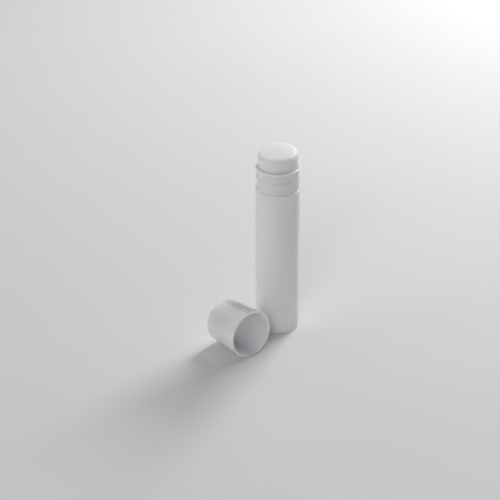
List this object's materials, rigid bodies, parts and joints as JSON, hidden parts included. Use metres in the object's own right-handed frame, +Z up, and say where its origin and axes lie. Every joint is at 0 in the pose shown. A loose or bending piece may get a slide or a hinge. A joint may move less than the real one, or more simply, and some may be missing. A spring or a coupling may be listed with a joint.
{
  "type": "lip balm stick",
  "caption": "Twist-up lip balm stick, standing open with the balm raised above the rim and its cap lying beside it.",
  "frame": {"origin": "the barrel's axis at the underside of the dial, on the surface that it stands on", "axes": "+Z up the barrel towards the balm, the cap lies on the -X side with its mouth towards -Y"},
  "size_m": [0.0385, 0.0196, 0.0708],
  "materials": {
    "tube_plastic": "glossy white polypropylene",
    "dial_plastic": "glossy white polypropylene",
    "carrier_plastic": "natural white moulded plastic",
    "balm_wax": "smooth white wax with a soft sheen",
    "cap_plastic": "glossy white polypropylene"
  },
  "bodies": {
    "barrel": {"barrel": "tube_plastic", "cap": "cap_plastic"},
    "dial": {"dial": "dial_plastic"},
    "carrier": {"carrier": "carrier_plastic", "balm": "balm_wax"}
  },
  "joints": [
    {"name": "carrier_slide", "type": "slide", "parent": "barrel", "child": "carrier", "axis": [0, 0, 1], "range_m": [-0.0064, 0.0372]},
    {"name": "dial_turn", "type": "hinge", "parent": "barrel", "child": "dial", "pos_m": [0, 0, 0], "axis": [0, 0, -1], "range_deg": [-770, 4467]}
  ],
  "couplings": [
    {"joint": "dial_turn", "follows": "carrier_slide", "rad_per_m": 2094.4}
  ]
}
